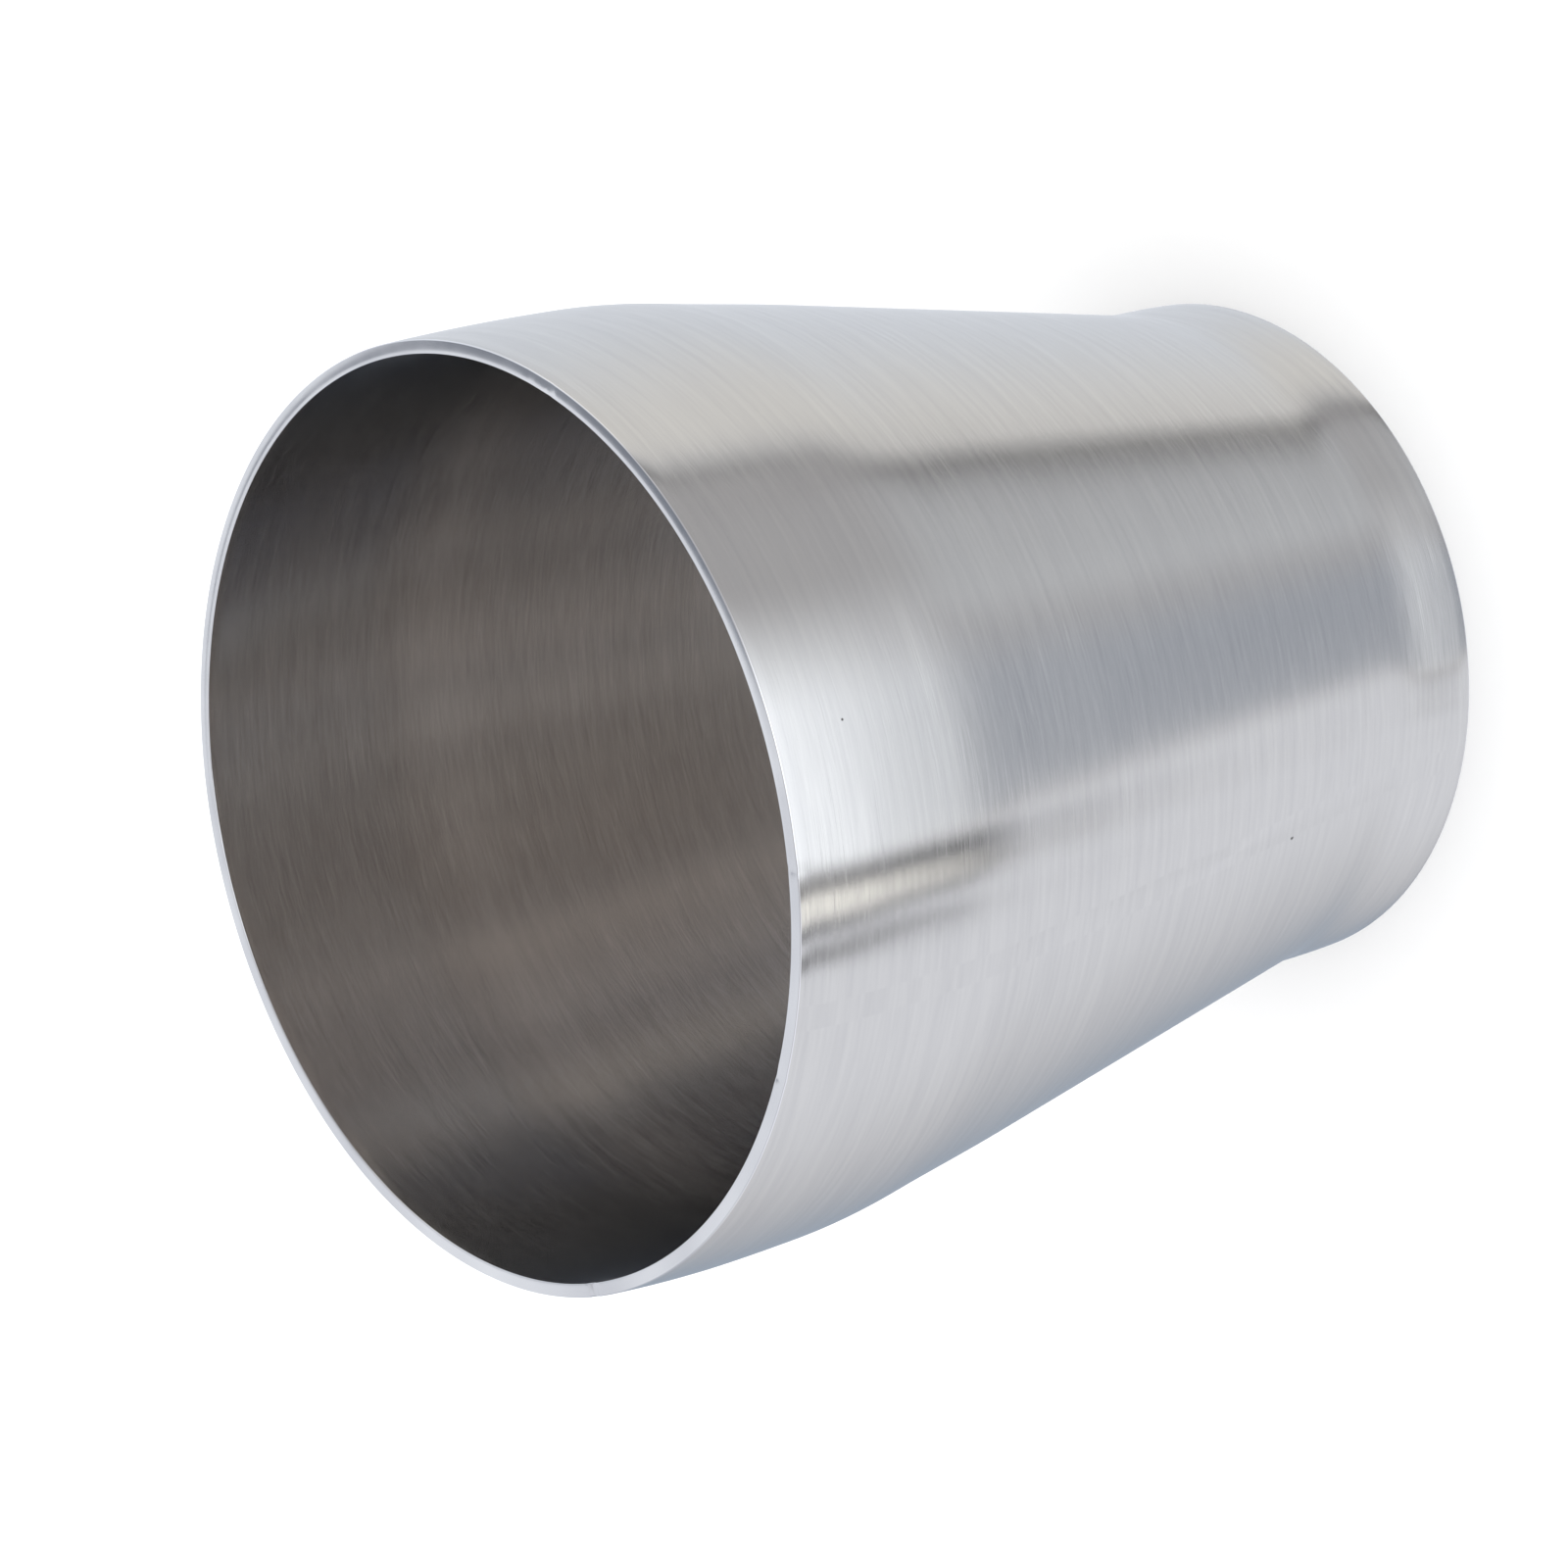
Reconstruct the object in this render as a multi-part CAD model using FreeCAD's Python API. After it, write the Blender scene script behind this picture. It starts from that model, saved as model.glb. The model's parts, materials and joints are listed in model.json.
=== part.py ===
import FreeCAD, Part
import math
import os

# Thin-wall concentric reducer: a strip of stainless sheet rolled into a tube, closed by one
# longitudinal butt weld, and cold-formed so that one end necks down to the smaller diameter.
#
# Millimetres. +Z runs along the flow axis, from the small end's face at z = 0 to the large end's
# face. The origin is the centre of the small end's face. The weld lies along +X.

# ---- driving dimensions -------------------------------------------------------------------
large_od = 101.6  # outside diameter of the large end's straight length, 4 inch tube
small_od = 76.2  # outside diameter of the small end's straight length, 3 inch tube
wall = 1.5  # sheet thickness, the same all over
overall_length = 108.0  # face to face
large_cuff = 26.0  # large face to where the cuff's and the cone's lines meet
small_cuff = 10.0  # small face to where the cuff's and the cone's lines meet
shoulder_radius = 60.0  # outside bend between the large cuff and the cone
neck_radius = 30.0  # outside bend between the small cuff and the cone
edge_break = 0.12  # deburring chamfer on the four rim edges
weld_width = 2.8  # width of the fused metal, across the wall's full thickness

# ---- what follows from them ---------------------------------------------------------------
large_r = large_od / 2
small_r = small_od / 2
neck_corner = FreeCAD.Vector(small_r, 0, small_cuff)
shoulder_corner = FreeCAD.Vector(large_r, 0, overall_length - large_cuff)
cone_angle = math.atan2(large_r - small_r, shoulder_corner.z - neck_corner.z)
neck_reach = neck_radius * math.tan(cone_angle / 2)  # corner to the bend's tangent points
shoulder_reach = shoulder_radius * math.tan(cone_angle / 2)
AXIS = FreeCAD.Vector(0, 0, 1)
ORIGIN = FreeCAD.Vector(0, 0, 0)


def radial(angle):
    """Unit vector in the section's plane, at an angle from the outward radius towards +Z."""
    return FreeCAD.Vector(math.cos(angle), 0, math.sin(angle))


def skin(depth):
    """One face of the sheet, in section, from the small rim to the large rim.

    depth is how far it lies under the outside skin: 0 for the outside, wall for the inside. Both
    bends keep their centres, so the sheet is equally thick all along.
    """
    cone_way = FreeCAD.Vector(math.sin(cone_angle), 0, math.cos(cone_angle))
    neck_end = neck_corner + cone_way * neck_reach - radial(-cone_angle) * depth
    neck_start = neck_corner - AXIS * neck_reach - radial(0) * depth
    shoulder_start = shoulder_corner - cone_way * shoulder_reach - radial(-cone_angle) * depth
    shoulder_end = shoulder_corner + AXIS * shoulder_reach - radial(0) * depth
    neck_centre = neck_corner - AXIS * neck_reach + radial(0) * neck_radius
    shoulder_centre = shoulder_corner + AXIS * shoulder_reach - radial(0) * shoulder_radius
    neck_middle = neck_centre - radial(-cone_angle / 2) * (neck_radius + depth)
    shoulder_middle = shoulder_centre + radial(-cone_angle / 2) * (shoulder_radius - depth)
    small_rim = FreeCAD.Vector(small_r - depth, 0, edge_break)
    large_rim = FreeCAD.Vector(large_r - depth, 0, overall_length - edge_break)
    edges = [
        Part.LineSegment(small_rim, neck_start),
        Part.Arc(neck_start, neck_middle, neck_end),
        Part.LineSegment(neck_end, shoulder_start),
        Part.Arc(shoulder_start, shoulder_middle, shoulder_end),
        Part.LineSegment(shoulder_end, large_rim),
    ]
    return small_rim, edges, large_rim


def rim(outer, inner, face_z):
    """The cut end of the sheet, in section: a flat land between two broken edges."""
    land_outer = FreeCAD.Vector(outer.x - edge_break, 0, face_z)
    land_inner = FreeCAD.Vector(inner.x + edge_break, 0, face_z)
    return [
        Part.LineSegment(outer, land_outer),
        Part.LineSegment(land_outer, land_inner),
        Part.LineSegment(land_inner, inner),
    ]


def whole_wall():
    """The reducer's wall all the way round, weld and all."""
    outer_small, outer_edges, outer_large = skin(0)
    inner_small, inner_edges, inner_large = skin(wall)
    edges = outer_edges + rim(outer_large, inner_large, overall_length)
    edges += inner_edges + rim(outer_small, inner_small, 0)
    outline = Part.Wire(Part.__sortEdges__([edge.toShape() for edge in edges]))
    section = Part.Face(outline)
    section.rotate(ORIGIN, AXIS, 180)  # the turned surfaces close opposite the weld
    return section.revolve(ORIGIN, AXIS, 360)


def weld_slab():
    """The slab of space that the weld takes up, from the axis out past the wall on +X."""
    corner = FreeCAD.Vector(0, -weld_width / 2, 0)
    return Part.makeBox(large_od, weld_width, overall_length, corner)


def formed_shell():
    """The rolled and necked strip, open along the weld."""
    return whole_wall().cut(weld_slab())


def seam_weld():
    """The butt weld that closes the strip, ground flush inside and out."""
    return whole_wall().common(weld_slab())


def save(name, shape):
    """Writes one sub-part, and says how large it is."""
    shape.exportStep(os.path.join("parts", name + ".step"))
    box = shape.optimalBoundingBox(False, False)
    print(
        f"{name}: {len(shape.Solids)} solid, {shape.Volume / 1000:.3f} cm3,"
        f" {box.XLength:.1f} x {box.YLength:.1f} x {box.ZLength:.1f} mm, valid {shape.isValid()}"
    )


os.makedirs("parts", exist_ok=True)
save("formed_shell", formed_shell())
save("seam_weld", seam_weld())
print(
    f"cone half angle {math.degrees(cone_angle):.2f} degrees,"
    f" large straight {large_cuff - shoulder_reach:.2f} mm,"
    f" small straight {small_cuff - neck_reach:.2f} mm"
)
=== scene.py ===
# %% [markdown]
# # A brushed stainless reducer
#
# This lesson dresses a thin-wall pipe reducer: a sheet of stainless steel rolled into a tube,
# welded along one side and pressed so that one end is narrower. The engineering model is loaded
# as a fixed frame. The lesson turns it into a finished thing: a sheet with real edges, a brushed
# skin, and a small photo studio around it.

# %% Load the frame
import json
import math

import bmesh
import bpy
from mathutils import Matrix, Vector, noise


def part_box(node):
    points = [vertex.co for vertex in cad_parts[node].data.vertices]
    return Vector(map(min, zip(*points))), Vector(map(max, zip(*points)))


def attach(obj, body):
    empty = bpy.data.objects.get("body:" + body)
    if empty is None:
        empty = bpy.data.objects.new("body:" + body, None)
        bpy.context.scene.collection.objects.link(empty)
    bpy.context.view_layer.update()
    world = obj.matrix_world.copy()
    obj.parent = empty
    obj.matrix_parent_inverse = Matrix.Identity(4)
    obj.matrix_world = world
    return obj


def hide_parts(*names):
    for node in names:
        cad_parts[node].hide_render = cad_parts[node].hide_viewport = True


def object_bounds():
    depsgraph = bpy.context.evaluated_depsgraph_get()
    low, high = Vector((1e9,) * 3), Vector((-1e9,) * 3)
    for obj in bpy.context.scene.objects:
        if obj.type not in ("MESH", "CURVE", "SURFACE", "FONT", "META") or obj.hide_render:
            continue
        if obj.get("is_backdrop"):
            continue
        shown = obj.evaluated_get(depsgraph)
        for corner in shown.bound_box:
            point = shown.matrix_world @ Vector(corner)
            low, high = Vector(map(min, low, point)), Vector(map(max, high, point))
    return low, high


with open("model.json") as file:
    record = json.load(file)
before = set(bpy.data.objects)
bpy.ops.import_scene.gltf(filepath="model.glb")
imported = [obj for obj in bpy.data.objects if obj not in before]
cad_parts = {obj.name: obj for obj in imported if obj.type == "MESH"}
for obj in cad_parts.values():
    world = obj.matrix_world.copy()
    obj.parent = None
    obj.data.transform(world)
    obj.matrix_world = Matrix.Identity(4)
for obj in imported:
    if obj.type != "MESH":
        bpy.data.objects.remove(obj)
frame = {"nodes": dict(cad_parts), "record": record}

cad_lo, cad_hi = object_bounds()
print("frame nodes:", sorted(frame["nodes"]))
print("frame box in mm:", [round(side * 1000, 2) for side in cad_hi - cad_lo])

# %% [markdown]
# ## Sizes
#
# Nothing is measured by hand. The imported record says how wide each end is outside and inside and
# how long its straight stretch is, so the sheet's thickness and the cone between the two straight
# stretches follow from it. Only the two bend radii are stated here.

# %% Sizes from the record
MM = 0.001
mounts = {mount["name"]: mount for mount in frame["record"]["mounts"]}


def mount_size(name, key):
    """A stated size of one mount, in metres."""
    return mounts[name]["dims"][key] * MM


LENGTH = cad_hi.z - cad_lo.z
LARGE_R = mount_size("large_end_outside", "r_mm")
SMALL_R = mount_size("small_end_outside", "r_mm")
WALL = LARGE_R - mount_size("large_end_bore", "r_mm")
EDGE = 0.12 * MM  # the deburred corner of the rims
LARGE_STRAIGHT = mount_size("large_end_outside", "length_mm") + EDGE
SMALL_STRAIGHT = mount_size("small_end_outside", "length_mm") + EDGE
SHOULDER_R = 60 * MM  # outside bend from the large straight stretch into the cone
NECK_R = 30 * MM  # outside bend from the cone into the small straight stretch
WELD_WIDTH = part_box("seam_weld")[1].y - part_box("seam_weld")[0].y
print(f"wall {WALL / MM:.2f} mm, weld {WELD_WIDTH / MM:.2f} mm wide")


# %% Lean of the cone
def cone_lean():
    """Half angle of the cone: the turn at which both bends meet one straight line."""
    low, high = 0.0, math.radians(45)
    for _ in range(60):
        lean = (low + high) / 2
        run = LENGTH - LARGE_STRAIGHT - SMALL_STRAIGHT - (SHOULDER_R + NECK_R) * math.sin(lean)
        fall = (SHOULDER_R + NECK_R) * (1 - math.cos(lean)) + run * math.tan(lean)
        low, high = (lean, high) if fall < LARGE_R - SMALL_R else (low, lean)
    return lean


LEAN = cone_lean()
print(f"cone half angle {math.degrees(LEAN):.2f} degrees")

# %% [markdown]
# ## The sheet's line
#
# In section the sheet is one line: straight, bend, cone, bend, straight. It is described by how
# far one has walked along it from the small end, because evenly spaced steps give evenly sized
# faces. Each step knows its place and which way is out, so the inside skin is the outside skin
# moved in by the wall.

# %% The section line
NECK_ARC = NECK_R * LEAN
SHOULDER_ARC = SHOULDER_R * LEAN
NECK_END_Z = SMALL_STRAIGHT + NECK_R * math.sin(LEAN)
SHOULDER_START_Z = LENGTH - LARGE_STRAIGHT - SHOULDER_R * math.sin(LEAN)
CONE_WALK = (SHOULDER_START_Z - NECK_END_Z) / math.cos(LEAN)


def skin_point(walk):
    """Radius, height and lean of the outside skin after walking that far from the small end."""
    if walk < SMALL_STRAIGHT:
        return SMALL_R, walk, 0.0
    walk -= SMALL_STRAIGHT
    if walk < NECK_ARC:
        turn = walk / NECK_R
        return SMALL_R + NECK_R * (1 - math.cos(turn)), SMALL_STRAIGHT + NECK_R * math.sin(turn), turn
    walk -= NECK_ARC
    radius = SMALL_R + NECK_R * (1 - math.cos(LEAN))
    if walk < CONE_WALK:
        return radius + walk * math.sin(LEAN), NECK_END_Z + walk * math.cos(LEAN), LEAN
    walk -= CONE_WALK
    if walk < SHOULDER_ARC:
        turn = LEAN - walk / SHOULDER_R
        height = LENGTH - LARGE_STRAIGHT - SHOULDER_R * math.sin(turn)
        return LARGE_R - SHOULDER_R * (1 - math.cos(turn)), height, turn
    walk -= SHOULDER_ARC
    return LARGE_R, LENGTH - LARGE_STRAIGHT + walk, 0.0


FULL_WALK = SMALL_STRAIGHT + NECK_ARC + CONE_WALK + SHOULDER_ARC + LARGE_STRAIGHT
STEPS = 76
print(f"the sheet's line is {FULL_WALK / MM:.2f} mm long")

# %% [markdown]
# ## What forming leaves behind
#
# A real formed tube isn't a perfect surface of revolution. Its free edge springs in by a few
# tenths of a millimetre and isn't quite round, the wall goes slack in a long hollow over the
# shoulder, and the press leaves shallow waves. They are hard to see as shape, but a bright skin
# shows them at once, as reflections that bend. A displacement texture could do this. A sum of
# small terms is easier to read, and each only moves the sheet inwards, so it never leaves its
# drawing.

# %% Spring and waves
RIM_SPRING = 0.38 * MM  # how far the large rim pulls in, on average
OVAL_FROM = math.radians(345)  # the rim is slightly oval, and pulled in most on this side
OVAL_SHARE = 0.9  # of the average, twice round
ONE_SIDE_SHARE = 0.4  # of the average, once round
RIM_SPRING_REACH = 12 * MM  # how far down from the rim that starts
HOLLOW_DEPTH = 0.28 * MM  # the slack hollow over the shoulder
HOLLOW_LENGTH = 36 * MM
SMALL_SPRING = 0.12 * MM  # the small rim pulls in too
SMALL_SPRING_REACH = 5 * MM
WAVE_DEPTH = 0.035 * MM
WAVE_LENGTH = 26 * MM
WAVE_STRETCH = 0.6  # waves are longer along the tube than round it
WAVE_LIFT = 0.8  # noise goes below zero, so this keeps every wave on the inward side


def forming_error(angle, height):
    """How far the sheet lies inside its drawing, in metres, always positive."""
    side = angle - OVAL_FROM
    oval = 1 + OVAL_SHARE * math.cos(2 * side) + ONE_SIDE_SHARE * math.cos(side)
    top = max(0.0, 1 - (LENGTH - height) / RIM_SPRING_REACH)
    bottom = max(0.0, 1 - height / SMALL_SPRING_REACH)
    place = Vector((LARGE_R * math.cos(angle), LARGE_R * math.sin(angle), height * WAVE_STRETCH))
    wave = noise.noise(place / WAVE_LENGTH) + WAVE_LIFT
    below = min(1.0, max(0.0, (LENGTH - RIM_SPRING_REACH - height) / HOLLOW_LENGTH))
    hollow = HOLLOW_DEPTH * (1 - math.cos(2 * math.pi * below)) / 2
    return RIM_SPRING * oval * top**2 + SMALL_SPRING * bottom**2 + hollow + WAVE_DEPTH * wave


rim_pull = [forming_error(math.radians(angle), LENGTH) / MM for angle in range(360)]
print(f"the large rim lies {min(rim_pull):.2f} to {max(rim_pull):.2f} mm inside its drawing")

# %% [markdown]
# ## The outline of the wall
#
# Cut through, the wall is a closed outline: outside skin, large rim, inside skin, small rim. Each
# rim has a flat land between two small quarter rounds, where a file broke the sharp corners. A
# bevel modifier could round them, but worked out here they keep their exact size.

# %% Outline of the wall
RIM_ROUND = 4  # steps round each deburred corner


def corner(start, end, centre):
    """Points on the quarter round from start to end, both left out."""
    points = []
    for step in range(1, RIM_ROUND):
        share = step / RIM_ROUND * math.pi / 2
        points.append(centre + (start - centre) * math.cos(share) + (end - centre) * math.sin(share))
    return points


def skin_line(depth):
    """(radius, height) pairs of one skin, between the rims' rounded corners."""
    line = []
    for step in range(STEPS + 1):
        walk = EDGE + (FULL_WALK - 2 * EDGE) * step / STEPS
        radius, height, lean = skin_point(walk)
        line.append(Vector((radius - depth * math.cos(lean), height + depth * math.sin(lean))))
    return line


def rim_line(outer, inner, face_height):
    """(radius, height) pairs across a rim, from the outside skin to the inside skin."""
    outward = Vector((EDGE, 0))
    land_outer = Vector((outer.x, face_height)) - outward
    land_inner = Vector((inner.x, face_height)) + outward
    points = corner(outer, land_outer, outer - outward)
    points += [land_outer, (land_outer + land_inner) / 2, land_inner]
    return points + corner(land_inner, inner, inner + outward)


OUTER = skin_line(0)
INNER = skin_line(WALL)
LARGE_RIM = rim_line(OUTER[-1], INNER[-1], LENGTH)
SMALL_RIM = rim_line(OUTER[0], INNER[0], 0)
OUTLINE = OUTER + LARGE_RIM + INNER[::-1] + SMALL_RIM[::-1]
SKIN_OUT, CUT, SKIN_IN = 0, 1, 2  # material slots
ZONES = [SKIN_OUT] * (len(OUTER) - 1) + [CUT] * (len(LARGE_RIM) + 1)
ZONES += [SKIN_IN] * (len(INNER) - 1) + [CUT] * (len(SMALL_RIM) + 1)
print(len(OUTLINE), "points round the wall,", len(ZONES), "faces round the wall")

# %% [markdown]
# ## Nicks in the rim
#
# A rim that has been cut, deburred and handled has a few small nicks. Bump would not change the
# rim's outline, so they are real geometry: near a nick the top of the wall is pressed down a
# little, evenly over its last two millimetres, so no face folds over.

# %% Nicks in the large rim
NICKS = [  # (angle in degrees, depth in mm, width in mm)
    (299.5, 0.38, 1.5),
    (89.2, 0.05, 0.8),
    (85.3, 0.09, 0.8),
    (18.0, 0.06, 1.2),
    (352.0, 0.07, 2.0),
]
NICK_REACH = 2 * MM


def nick_depth(angle, height):
    """How far a nick presses the sheet down, at an angle in radians and a height."""
    share = max(0.0, 1 - (LENGTH - height) / NICK_REACH)
    if share == 0:
        return 0.0
    depth = 0.0
    for middle, deep, wide in NICKS:
        off = abs((math.degrees(angle) - middle + 180) % 360 - 180)
        across = math.radians(off) * LARGE_R / (wide * MM / 2)
        depth += deep * MM * max(0.0, 1 - across)
    return depth * share


print(len(NICKS), "nicks, the deepest", max(deep for _, deep, _ in NICKS), "mm")

# %% [markdown]
# ## Rolling the sheet
#
# The outline is swept round the axis as a grid of faces. A Screw modifier would be shorter, but it
# stops the sheet at two planes through the axis. The real sheet was cut with parallel long edges,
# so the angle where it stops depends on the radius. The weld fills the few degrees that are left
# with the same outline, so the two meet without a gap. Every point of the grid takes its forming
# error and its nick on the way.

# %% Sweep the outline
def close_ends(mesh_maker, first, last):
    """The two long edges of the strip, as ladders of flat faces between outside and inside."""
    skin = len(OUTER)
    inside = skin + len(LARGE_RIM)
    pairs = [(row, inside + skin - 1 - row) for row in range(skin)]
    for ring in (first, last):
        for (low_out, low_in), (high_out, high_in) in zip(pairs, pairs[1:]):
            side = mesh_maker.faces.new((ring[low_out], ring[high_out], ring[high_in], ring[low_in]))
            side.material_index = CUT
        side = mesh_maker.faces.new(ring[skin - 1 : inside + 1])
        side.material_index = CUT
        side = mesh_maker.faces.new([ring[inside + skin - 1]] + ring[inside + skin :] + [ring[0]])
        side.material_index = CUT
    for edge in mesh_maker.edges:
        if any(not face.smooth for face in edge.link_faces):
            edge.smooth = False


def sweep(name, columns, angle_at):
    """A closed solid that sweeps the wall's outline; angle_at(share, radius) places each column."""
    mesh_maker = bmesh.new()
    rings = []
    for column in range(columns + 1):
        ring = []
        for point in OUTLINE:
            angle = angle_at(column / columns, point.x)
            radius = point.x - forming_error(angle, point.y)
            height = point.y - nick_depth(angle, point.y)
            place = (radius * math.cos(angle), radius * math.sin(angle), height)
            ring.append(mesh_maker.verts.new(place))
        rings.append(ring)
    count = len(OUTLINE)
    for left, right in zip(rings, rings[1:]):
        for row in range(count):
            after = (row + 1) % count
            face = mesh_maker.faces.new((left[row], right[row], right[after], left[after]))
            face.material_index = ZONES[row]
            face.smooth = True
    close_ends(mesh_maker, rings[0], rings[-1])
    bmesh.ops.recalc_face_normals(mesh_maker, faces=mesh_maker.faces)
    mesh = bpy.data.meshes.new(name)
    mesh_maker.to_mesh(mesh)
    mesh_maker.free()
    piece = bpy.data.objects.new(name, mesh)
    bpy.context.scene.collection.objects.link(piece)
    print(f"{name}: {len(mesh.polygons)} faces")
    return piece


# %% Shell and weld
COLUMNS = 560
WELD_COLUMNS = 8


def half_weld_angle(radius):
    """Angle from the middle of the weld to its edge, at a radius."""
    return math.asin(WELD_WIDTH / 2 / radius)


def shell_angle(share, radius):
    """Columns of the strip: from one edge of the weld all the way round to the other."""
    gap = half_weld_angle(radius)
    return gap + (2 * math.pi - 2 * gap) * share


def weld_angle(share, radius):
    """Columns of the weld."""
    gap = half_weld_angle(radius)
    return gap * (2 * share - 1)


shell = sweep("reducer_shell", COLUMNS, shell_angle)
weld = sweep("butt_weld", WELD_COLUMNS, weld_angle)
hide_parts("formed_shell")
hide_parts("seam_weld")
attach(shell, "root")
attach(weld, "root")

# %% [markdown]
# ## Colour and nodes
#
# Colours are written as the sRGB hex values that a paint program shows. Shaders want linear
# light, so one function converts them. Another adds a node, sets its values and links its inputs,
# which keeps every material below short.

# %% Colour
def linear(hex_colour):
    """RGBA in linear light from an sRGB hex string."""
    channels = [int(hex_colour[start : start + 2], 16) / 255 for start in (1, 3, 5)]
    return [c / 12.92 if c <= 0.04045 else ((c + 0.055) / 1.055) ** 2.4 for c in channels] + [1.0]


print("#808080 in linear light:", round(linear("#808080")[0], 3))


# %% Nodes
def add_node(tree, kind, settings=None, values=None, links=None):
    """Adds a node, sets its properties and input values, and links other nodes' outputs to it."""
    node = tree.nodes.new(kind)
    for key, value in (settings or {}).items():
        setattr(node, key, value)
    for key, value in (values or {}).items():
        node.inputs[key].default_value = value
    for key, output in (links or {}).items():
        tree.links.new(output, node.inputs[key])
    return node


def new_material(name):
    """An empty node material, its tree and its output node."""
    material = bpy.data.materials.new(name)
    material.use_nodes = True
    material.node_tree.nodes.clear()
    return material, material.node_tree, material.node_tree.nodes.new("ShaderNodeOutputMaterial")


# %% [markdown]
# ## Scratches
#
# An abrasive belt ran against the tube while it turned, so the scratches run round it. They could
# be painted or modelled one by one, but noise that changes quickly along the axis and slowly round
# it looks the same and never repeats. A belt of about 180 grit leaves scratches near 0.05 mm wide.
# They are drawn three times as wide, because finer ones would melt into plain grey.

# %% Scratch pattern
SCRATCH_WIDTH = 0.16 * MM
SCRATCH_LENGTH = 5.0 * MM


def streaks(tree, place, width, length, detail, seed):
    """Noise drawn out round the axis: lines about as wide and as long as stated."""
    scaled = add_node(
        tree,
        "ShaderNodeMapping",
        values={"Scale": (1 / length, 1 / length, 1 / width), "Location": (seed, seed, seed)},
        links={"Vector": place},
    )
    return add_node(
        tree,
        "ShaderNodeTexNoise",
        values={"Scale": 1.0, "Detail": detail, "Roughness": 0.6},
        links={"Vector": scaled.outputs["Vector"]},
    ).outputs["Fac"]


print(f"scratches {SCRATCH_WIDTH / MM:.2f} mm wide and {SCRATCH_LENGTH / MM:.0f} mm long")

# %% [markdown]
# ## Brushed 304 stainless steel
#
# Scratches spread light across themselves and hardly along themselves, which is what makes long
# soft streaks down the tube. In the shader that is an anisotropic highlight with its tangent
# round the axis. Three sizes of scratch work together: fine ones set the roughness and the bump,
# deep ones cut into the bump, and broad ones, passes of the belt, vary the colour.

# %% Brushed steel
NOISE_LOW, NOISE_HIGH = 0.3, 0.7  # nearly all of the noise lies between these
DEEP_FROM, DEEP_FULL = 0.62, 0.74  # only its rare peaks make deep scratches
DEEP_CUT = 0.8  # how far a deep scratch cuts, against the height of the fine ones
DEEP_LENGTH = 2.5 * SCRATCH_LENGTH
PASS_LENGTH = 4 * SCRATCH_LENGTH
PASS_SCRATCHES = 6  # one pass of the belt is this many scratches wide
QUARTER_TURN = 0.25


def brushed_steel(name, tints, rough, anisotropy, grit, depth, edge_tint="#ffffff", painted_light=None):
    """Stainless steel brushed round the axis.

    tints and rough are its (lowest, highest) colour and roughness. grit is how wide its scratches
    are, as a share of SCRATCH_WIDTH, and depth is how deep. edge_tint is its tint at a glancing
    angle, and the last argument is a function that paints shade or reflections into the colour.
    """
    material, tree, output = new_material(name)
    place = add_node(tree, "ShaderNodeTexCoord").outputs["Object"]
    width = SCRATCH_WIDTH * grit
    fine = streaks(tree, place, width, SCRATCH_LENGTH, detail=3.0, seed=0.0)
    deep = streaks(tree, place, width, DEEP_LENGTH, detail=1.0, seed=3.0)
    broad = streaks(tree, place, width * PASS_SCRATCHES, PASS_LENGTH, detail=2.0, seed=7.0)
    belt_pass = add_node(
        tree,
        "ShaderNodeMapRange",
        values={"From Min": NOISE_LOW, "From Max": NOISE_HIGH},
        links={"Value": broad},
    )
    colour = add_node(
        tree,
        "ShaderNodeMix",
        settings={"data_type": "RGBA"},
        values={"A": linear(tints[0]), "B": linear(tints[1])},
        links={"Factor": belt_pass.outputs["Result"]},
    ).outputs["Result"]
    # the last argument paints shade or reflections into the colour
    if painted_light:
        colour = painted_light(tree, place, colour)
    roughness = add_node(
        tree,
        "ShaderNodeMapRange",
        values={
            "From Min": NOISE_LOW,
            "From Max": NOISE_HIGH,
            "To Min": rough[0],
            "To Max": rough[1],
        },
        links={"Value": fine},
    )
    gouges = add_node(
        tree,
        "ShaderNodeMapRange",
        values={"From Min": DEEP_FROM, "From Max": DEEP_FULL},
        links={"Value": deep},
    )
    ridges = add_node(
        tree,
        "ShaderNodeMath",
        settings={"operation": "MULTIPLY_ADD"},
        values={1: -DEEP_CUT},
        links={0: gouges.outputs["Result"], 2: fine},
    )
    bump = add_node(
        tree,
        "ShaderNodeBump",
        values={"Strength": 1.0, "Distance": depth},
        links={"Height": ridges.outputs[0]},
    )
    tangent = add_node(tree, "ShaderNodeTangent", settings={"direction_type": "RADIAL", "axis": "Z"})
    steel = add_node(
        tree,
        "ShaderNodeBsdfPrincipled",
        values={
            "Metallic": 1.0,
            "Anisotropic": anisotropy,
            "Anisotropic Rotation": QUARTER_TURN,  # so that light spreads along the tube
            "Specular Tint": linear(edge_tint),
        },
        links={
            "Base Color": colour,
            "Roughness": roughness.outputs["Result"],
            "Normal": bump.outputs["Normal"],
            "Tangent": tangent.outputs["Tangent"],
        },
    )
    tree.links.new(steel.outputs["BSDF"], output.inputs["Surface"])
    print(f"{name}: roughness {rough[0]} to {rough[1]}, scratches {width / MM:.2f} mm wide")
    return material


# %% [markdown]
# ## The outside skin
#
# The belt left the outside bright, hardly coloured and strongly directional. Handling left two
# pin-prick pits, one on the cone and one by the rim. Each is a dark spot of painted shade in the
# colour, at its own place on the skin, because it is too small to need a hole in the mesh.

# %% Outside skin with painted pit shade
PITS = [(33.0, 99.5, 0.4), (-2.0, 30.5, 0.7)]  # (angle in degrees, height and size in mm)
# painted shade: a dark colour standing in for the shade inside each pit
PIT_PAINTED_SHADE = "#4c4a48"


def skin_radius(height):
    """Radius of the outside skin at a height."""
    return min(OUTER, key=lambda point: abs(point.y - height)).x


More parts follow.
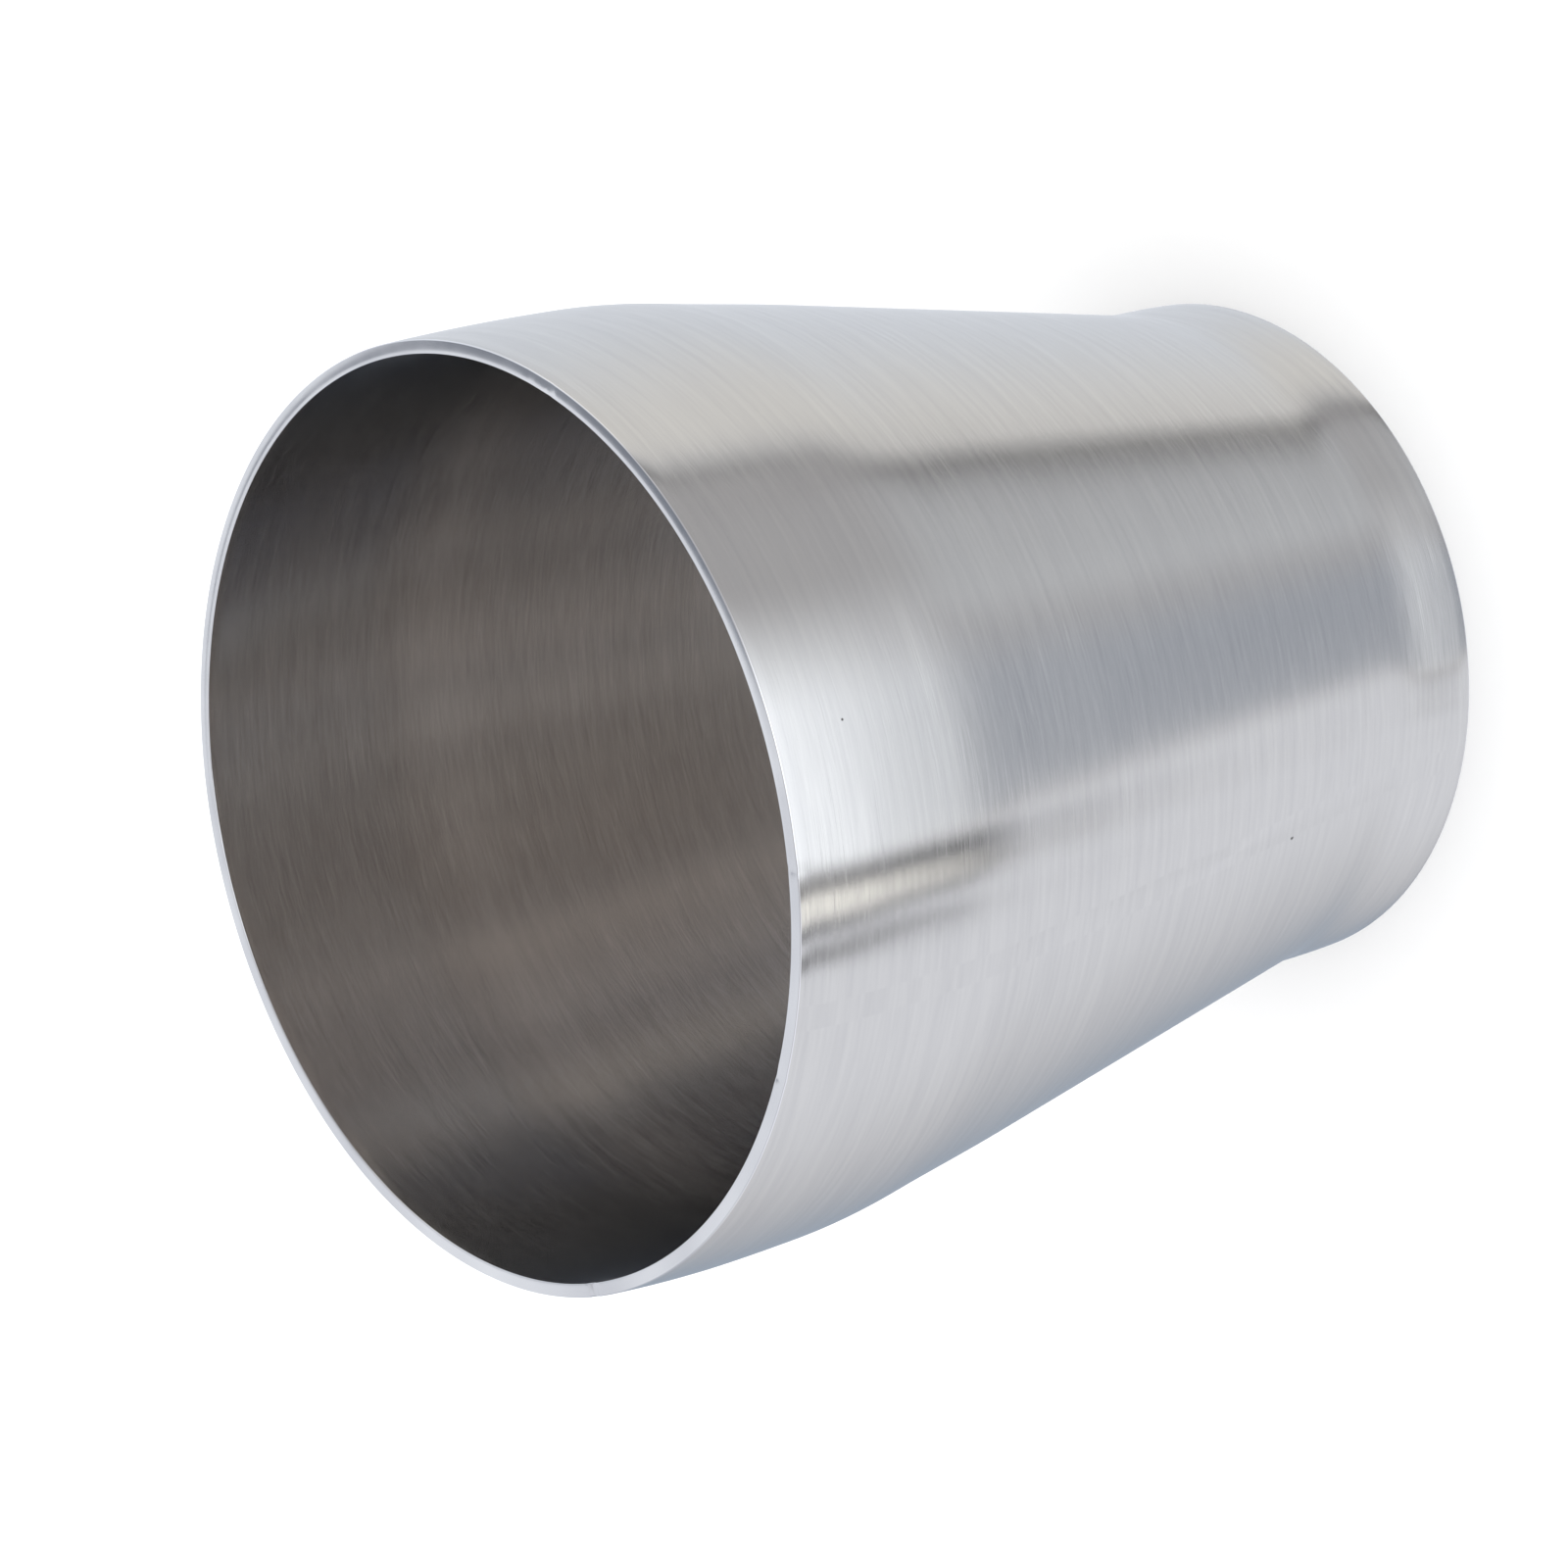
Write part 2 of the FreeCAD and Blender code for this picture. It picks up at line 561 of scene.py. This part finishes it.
def paint_pit_shade(tree, place, colour):
    """Paints shade into the colour at each pit."""
    for angle, height, size in PITS:
        radius = skin_radius(height * MM)
        turn = math.radians(angle)
        away = add_node(
            tree,
            "ShaderNodeVectorMath",
            settings={"operation": "DISTANCE"},
            values={1: (radius * math.cos(turn), radius * math.sin(turn), height * MM)},
            links={0: place},
        )
        hole = add_node(
            tree,
            "ShaderNodeMapRange",
            values={"From Min": size * MM / 2, "From Max": size * MM / 4},
            links={"Value": away.outputs["Value"]},
        )
        colour = add_node(
            tree,
            "ShaderNodeMix",
            settings={"data_type": "RGBA"},
            values={"B": linear(PIT_PAINTED_SHADE)},
            links={"A": colour, "Factor": hole.outputs["Result"]},
        ).outputs["Result"]
    return colour


outside = brushed_steel(
    "brushed_304_outside",
    tints=("#c8c7c5", "#cfcecb"),
    rough=(0.15, 0.21),
    anisotropy=1.0,
    grit=0.9,
    depth=0.004 * MM,
    # paints the shade of each pit into the colour
    painted_light=paint_pit_shade,
)

# %% [markdown]
# ## The inside skin
#
# The inside is taken to keep the finish that the sheet left the mill with: nearly smooth, a
# little warmer, and cooler at a glancing angle. Faint light and dark bands run along the tube.
# They are painted reflections, not part of the finish: light bounced round the bore, set to look
# right as a ring of shades round the axis, by which the colour is multiplied. An image could hold
# them, but a colour ramp keeps them soft and easy to change.

# %% Inside skin with painted reflection bands
# painted reflections: shades that stand in for light bounced round the bore
BORE_PAINTED_REFLECTIONS = [  # (angle in degrees, shade)
    (120, "#ececf0"),
    (145, "#ffffff"),
    (170, "#d8d5d2"),
    (190, "#e8e4de"),
    (210, "#d2cdc8"),
    (230, "#ece6df"),
    (250, "#fffcf8"),
    (260, "#ecebea"),
    (280, "#ffffff"),
    (300, "#ececf0"),
]


def add_painted_reflection_bands(tree, place, colour):
    """Multiplies the colour by a ring of painted reflection shades; the gradient starts and ends opposite
    +X.
    """
    turn = add_node(
        tree,
        "ShaderNodeTexGradient",
        settings={"gradient_type": "RADIAL"},
        links={"Vector": place},
    )
    ramp = add_node(tree, "ShaderNodeValToRGB", links={"Fac": turn.outputs["Fac"]})
    ramp.color_ramp.interpolation = "EASE"
    stops = sorted(((angle / 360 + 0.5) % 1.0, shade) for angle, shade in BORE_PAINTED_REFLECTIONS)
    first, last = ramp.color_ramp.elements
    first.color = last.color = linear(stops[0][1])
    for position, shade in stops:
        ramp.color_ramp.elements.new(position).color = linear(shade)
    return add_node(
        tree,
        "ShaderNodeMix",
        settings={"data_type": "RGBA", "blend_type": "MULTIPLY"},
        values={"Factor": 1.0},
        links={"A": colour, "B": ramp.outputs["Color"]},
    ).outputs["Result"]


inside = brushed_steel(
    "mill_304_inside",
    tints=("#dddad6", "#e6e3df"),
    rough=(0.18, 0.25),
    anisotropy=0.9,
    grit=1.5,
    depth=0.0004 * MM,
    edge_tint="#d4e4fa",
    # paints reflection bands into the inside colour
    painted_light=add_painted_reflection_bands,
)

# %% [markdown]
# ## Cut edges and weld
#
# The rims were cut and faced, then the corner was broken with a file. A faced edge is the brightest
# and smoothest metal on the part, and it has no direction, so its highlight is round. The weld is
# taken to be a bead of 308 filler, the usual one for 304 sheet, ground flush and brushed with the
# rest, so only slightly coarser scratches tell it from the sheet.

# %% Cut edges and weld
cut_edge = brushed_steel(
    "cut_304_edge",
    tints=("#d6d6d8", "#ececec"),
    rough=(0.1, 0.17),
    anisotropy=0.0,
    grit=1.5,
    depth=0.003 * MM,
)
weld_skin = brushed_steel(
    "ground_308_weld",
    tints=("#c7c6c4", "#cfcecb"),
    rough=(0.15, 0.212),
    anisotropy=1.0,
    grit=1.0,
    depth=0.0042 * MM,
)
for piece, skin in ((shell, outside), (weld, weld_skin)):
    for material in (skin, cut_edge, inside):
        piece.data.materials.append(material)
    print(piece.name, "wears", [material.name for material in piece.data.materials])

# %% [markdown]
# ## The studio
#
# Polished metal shows only what stands round it, so the studio matters as much as the material.
# Pale panels make the bright zones, and gaps and black flags make the dark streaks. Area lights
# could do this, but a glowing mesh can fade out softly at each edge by its own amount. The panels
# are patches of a big sphere, placed by azimuth and elevation. Only reflections see them, so they
# cast no shadow and never show themselves.

# %% The light of a panel
def panel_material(name, colour, strength, width, height, sides, ends):
    """Light that fades out towards the panel's edges, which are measured in degrees."""
    material, tree, output = new_material(name)
    degrees = add_node(tree, "ShaderNodeTexCoord").outputs["UV"]
    split = add_node(tree, "ShaderNodeSeparateXYZ", links={"Vector": degrees})
    across, up = split.outputs["X"], split.outputs["Y"]
    cover = None
    for value, edge, inward in (
        (across, 0, sides[0]),
        (across, width, -sides[1]),
        (up, 0, ends[0]),
        (up, height, -ends[1]),
    ):
        # each fade rises from 0 to the one before it, so together they multiply
        cover = add_node(
            tree,
            "ShaderNodeMapRange",
            settings={"interpolation_type": "SMOOTHSTEP"},
            values={"From Min": edge, "From Max": edge + inward},
            links={"Value": value, "To Max": cover} if cover else {"Value": value},
        ).outputs["Result"]
    clear = add_node(tree, "ShaderNodeBsdfTransparent")
    glow = add_node(tree, "ShaderNodeEmission", values={"Color": linear(colour), "Strength": strength})
    mix = add_node(
        tree,
        "ShaderNodeMixShader",
        links={0: cover, 1: clear.outputs[0], 2: glow.outputs[0]},
    )
    tree.links.new(mix.outputs[0], output.inputs["Surface"])
    return material


# %% The shape of a panel
STUDIO_RADIUS = 4.0
LAYER_GAP = 0.02  # each layer stands this share closer than the one before
PANEL_STEPS = 16


def direction(azimuth, elevation):
    """Unit vector; azimuth turns from +X towards +Y, both in degrees."""
    a, e = math.radians(azimuth), math.radians(elevation)
    return Vector((math.cos(a) * math.cos(e), math.sin(a) * math.cos(e), math.sin(e)))


print("azimuth 90, elevation 0 points along", [round(part) for part in direction(90, 0)])


def panel_mesh(name, azimuths, elevations, around, radius):
    """A patch of a sphere, with degrees from its first corner as its UVs."""
    mesh_maker = bmesh.new()
    uv = mesh_maker.loops.layers.uv.new("degrees")
    width = (azimuths[1] - azimuths[0]) / PANEL_STEPS
    height = (elevations[1] - elevations[0]) / PANEL_STEPS
    grid = []
    for row in range(PANEL_STEPS + 1):
        places = [
            direction(azimuths[0] + width * column, elevations[0] + height * row)
            for column in range(PANEL_STEPS + 1)
        ]
        grid.append([mesh_maker.verts.new(around + place * radius) for place in places])
    for row in range(PANEL_STEPS):
        for column in range(PANEL_STEPS):
            corners = [(row, column), (row, column + 1), (row + 1, column + 1), (row + 1, column)]
            face = mesh_maker.faces.new([grid[r][c] for r, c in corners])
            for loop, (r, c) in zip(face.loops, corners):
                loop[uv].uv = (width * c, height * r)
    mesh = bpy.data.meshes.new(name)
    mesh_maker.to_mesh(mesh)
    mesh_maker.free()
    return mesh


# %% A panel in the studio
def stage_card(name, mesh):
    """Puts a glowing card in the studio, where only reflections see it."""
    card = bpy.data.objects.new(name, mesh)
    bpy.context.scene.collection.objects.link(card)
    card.visible_camera = False
    card.visible_diffuse = False
    card.visible_shadow = False
    card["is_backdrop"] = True
    return card


def panel(
    name, azimuths, elevations, colour, strength, sides, ends, layer, around=Vector(), reach=STUDIO_RADIUS
):
    """A glowing panel; sides and ends are how many degrees it takes to fade out at its edges."""
    mesh = panel_mesh(name, azimuths, elevations, around, reach * (1 - LAYER_GAP * layer))
    width = azimuths[1] - azimuths[0]
    height = elevations[1] - elevations[0]
    mesh.materials.append(panel_material(name, colour, strength, width, height, sides, ends))
    stage_card(name, mesh)


# %% [markdown]
# ## Panels round the part
#
# The standing wall mirrors what is low down, from the horizon to far below it. So a pale tent
# stands all round: whiter on one side, with a shaded blue part, a bright key panel, and two grey
# cards low down. Black flags on the far side draw the dark streak down the tube. The rims face up
# and mirror the sky: a pale card with a grey gap in it.

# %% Panels round the part
PANELS = [
    # name, azimuths, elevations, colour, strength, side fades, end fades, layer
    ("blue_shade", (196, 285), (-89, 60), "#a8b6c8", 1.0, (20, 60), (1, 10), 0),
    ("tent_far", (102, 222), (-89, 60), "#e6ebf4", 1.12, (5, 22), (1, 10), 1),
    ("tent_far_warm", (103, 165), (-89, 60), "#ebe9e7", 1.14, (5, 50), (1, 10), 2),
    ("tent_near", (232, 358.5), (-89, 60), "#e9ebf3", 1.25, (84, 2), (1, 10), 2),
    ("grey_card_mid", (48, 100), (-89, -45), "#dadde3", 1.0, (16, 3), (1, 4), 2),
    ("grey_card_low", (-1, 62), (-89, -44), "#b1b7c3", 1.0, (4, 30), (1, 4), 3),
    ("key_panel", (1, 68), (-44, 60), "#f4f8ff", 1.75, (3, 34), (10, 10), 3),
    ("black_flag_band", (97, 112.9), (-89, -52), "#060709", 1.0, (5.5, 1), (1, 3), 4),
    ("black_flag_wire", (98, 102), (-54, 10), "#404143", 1.0, (1.5, 1.5), (2, 3), 4),
    ("sky_card", (194, 246), (6, 66), "#eef1f8", 1.0, (8, 8), (8, 8), 4),
    ("sky_gap", (184, 210.5), (35.2, 62), "#878c96", 1.0, (6, 2), (1.5, 8), 5),
]
for entry in PANELS:
    panel(*entry)
print(len(PANELS), "panels round the part")

# %% [markdown]
# ## Strips close to the cuff
#
# Thin dark and light lines run along one side of the wide end, swell at the shoulder and stop.
# Strips far away would draw them down the whole tube. These stand about a quarter of a metre from
# the wide end instead, so they show there and not at the small end.

# %% Strips close to the cuff
NEAR_CUFF = Vector((0.05, 0.012, 0.09))
CLOSE_RADIUS = 0.24
CLOSE_PANELS = [
    # the same columns as above
    ("wire_far", (339, 345), (-43, 0), "#747476", 1.0, (2, 2), (3, 3), 3),
    ("wire_middle", (346.5, 351.5), (-44, 0), "#4a4a4c", 1.0, (2, 2), (2, 3), 3),
    ("slit_light", (350.5, 358), (-43, 0), "#f4f2ee", 1.6, (1.2, 1.2), (2, 3), 2),
    ("wire_near", (357, 361.5), (-44, 0), "#8c8c8e", 1.0, (1.5, 2), (2, 3), 3),
    ("black_flag_foot", (345, 360), (-54.5, -41.5), "#08090b", 1.0, (3, 2), (1.5, 1.5), 4),
]
for entry in CLOSE_PANELS:
    panel(*entry, around=NEAR_CUFF, reach=CLOSE_RADIUS)
print(len(CLOSE_PANELS), "strips", CLOSE_RADIUS, "m from the wide end")

# %% [markdown]
# ## A card under the mouth
#
# The inside is lit only through its two openings. A round card just under the small opening does
# what white board under a real tube does. Its middle gives the quiet centre of the bore, and its
# cool, brighter border lifts the steep sides, where light has bounced round the wall several
# times. Seen from straight above, that border shows as a pale blue ring at the foot of the bore,
# so a stronger border would cost more there than it gains on the sides.

# %% Card under the small opening
CARD_R = 36.4 * MM
CARD_DROP = 0.4 * MM
CARD_BORDER = (0.72, 0.97)  # the border starts and is whole at these shares of the radius
card_maker = bmesh.new()
bmesh.ops.create_circle(card_maker, cap_ends=True, segments=96, radius=CARD_R)
card_mesh = bpy.data.meshes.new("mouth_card")
card_maker.to_mesh(card_mesh)
card_maker.free()
mouth_card = stage_card("mouth_card", card_mesh)
mouth_card.location.z = cad_lo.z - CARD_DROP
print(f"card {2 * CARD_R / MM:.1f} mm across, {CARD_DROP / MM:.1f} mm under the small end")

# %% The light of the card
card_paper, tree, output = new_material("mouth_card")
from_axis = add_node(
    tree,
    "ShaderNodeVectorMath",
    settings={"operation": "LENGTH"},
    links={0: add_node(tree, "ShaderNodeTexCoord").outputs["Object"]},
)
border = add_node(
    tree,
    "ShaderNodeMapRange",
    values={"From Min": CARD_BORDER[0] * CARD_R, "From Max": CARD_BORDER[1] * CARD_R},
    links={"Value": from_axis.outputs["Value"]},
)
middle_glow = add_node(tree, "ShaderNodeEmission", values={"Color": linear("#95918d"), "Strength": 1.0})
border_glow = add_node(tree, "ShaderNodeEmission", values={"Color": linear("#bccae0"), "Strength": 1.35})
mix = add_node(
    tree,
    "ShaderNodeMixShader",
    links={0: border.outputs["Result"], 1: middle_glow.outputs[0], 2: border_glow.outputs[0]},
)
tree.links.new(mix.outputs[0], output.inputs["Surface"])
card_mesh.materials.append(card_paper)
print(f"its border starts {CARD_BORDER[0] * CARD_R / MM:.1f} mm from the axis")

# %% [markdown]
# ## Floor
#
# The part stands on its small end on matt white paper. The paper takes the soft contact shadow.
# Reflections don't see it, because the panels below the horizon already say what the wall mirrors.

# %% Floor
FLOOR_HALF = 3.0
floor_mesh = bpy.data.meshes.new("floor")
floor_mesh.from_pydata(
    [(x * FLOOR_HALF, y * FLOOR_HALF, 0) for x, y in ((-1, -1), (1, -1), (1, 1), (-1, 1))],
    [],
    [(0, 1, 2, 3)],
)
floor = bpy.data.objects.new("floor", floor_mesh)
bpy.context.scene.collection.objects.link(floor)
floor.location.z = cad_lo.z
floor.visible_glossy = False
floor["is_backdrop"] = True
floor_material, tree, output = new_material("floor_paper")
paper = add_node(tree, "ShaderNodeBsdfDiffuse", values={"Color": linear("#f7f7f7")})
tree.links.new(paper.outputs[0], output.inputs["Surface"])
floor_mesh.materials.append(floor_material)
print(f"floor {2 * FLOOR_HALF:.0f} m wide at height {floor.location.z:.4f} m")

# %% [markdown]
# ## Room light
#
# White light from all sides keeps the shadow soft, as in a light tent. Where a reflection passes
# between the panels it meets a light grey instead of that white, as it would meet the room behind
# a real tent. Light Path tells the two kinds of ray apart.

# %% Room light
world = bpy.data.worlds.new("studio_air")
bpy.context.scene.world = world
world.use_nodes = True
tree = world.node_tree
tree.nodes.clear()
output = add_node(tree, "ShaderNodeOutputWorld")
path = add_node(tree, "ShaderNodeLightPath")
room = add_node(tree, "ShaderNodeBackground", values={"Color": linear("#ffffff"), "Strength": 1.5})
mirrored = add_node(tree, "ShaderNodeBackground", values={"Color": linear("#c4c3c6"), "Strength": 1.0})
mix = add_node(
    tree,
    "ShaderNodeMixShader",
    links={0: path.outputs["Is Glossy Ray"], 1: room.outputs[0], 2: mirrored.outputs[0]},
)
tree.links.new(mix.outputs[0], output.inputs["Surface"])
print("staged cards:", len(PANELS) + len(CLOSE_PANELS) + 1)

# %% [markdown]
# ## Camera
#
# A long lens some 0.63 m away bends the two rims little, as in a catalogue picture. The camera
# looks down past the wide rim, so both the outside and the inside show, and it is rolled so that
# the part seems to lie on its side. It is placed by angles and a distance from the middle of the
# part, as one would set a tripod.

# %% Camera
VIEW_AZIMUTH = 122.198
VIEW_ELEVATION = 38.447
VIEW_ROLL = -104.914
VIEW_DISTANCE = 0.62947
VIEW_SLIDE = (-0.00981, -0.00665)  # how far the camera stands off to its right and up
LENS = 132.47
centre = (cad_lo + cad_hi) / 2
back = direction(VIEW_AZIMUTH - 90, VIEW_ELEVATION)
turn = (-back).to_track_quat("-Z", "Y").to_matrix() @ Matrix.Rotation(math.radians(VIEW_ROLL), 3, "Z")
camera_data = bpy.data.cameras.new("camera")
camera_data.lens = LENS
camera = bpy.data.objects.new("camera", camera_data)
bpy.context.scene.collection.objects.link(camera)
slide = turn @ Vector((VIEW_SLIDE[0], VIEW_SLIDE[1], VIEW_DISTANCE))
camera.matrix_world = Matrix.Translation(centre + slide) @ turn.to_4x4()
bpy.context.scene.camera = camera
bpy.context.scene.view_settings.view_transform = "Standard"  # keeps white paper white
bpy.context.view_layer.update()
print(f"camera {slide.length:.3f} m from the middle of the part, {LENS} mm lens")

# %% [markdown]
# ## Finish
#
# The skins must stay inside the engineering model's box, so both boxes are printed at the end.

# %% Print the boxes
sizes = {"cad": [list(cad_lo), list(cad_hi)], "visual": [list(end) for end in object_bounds()]}
for name, box in sizes.items():
    print(f"{name} box in mm:", [[round(v / MM, 2) for v in end] for end in box])
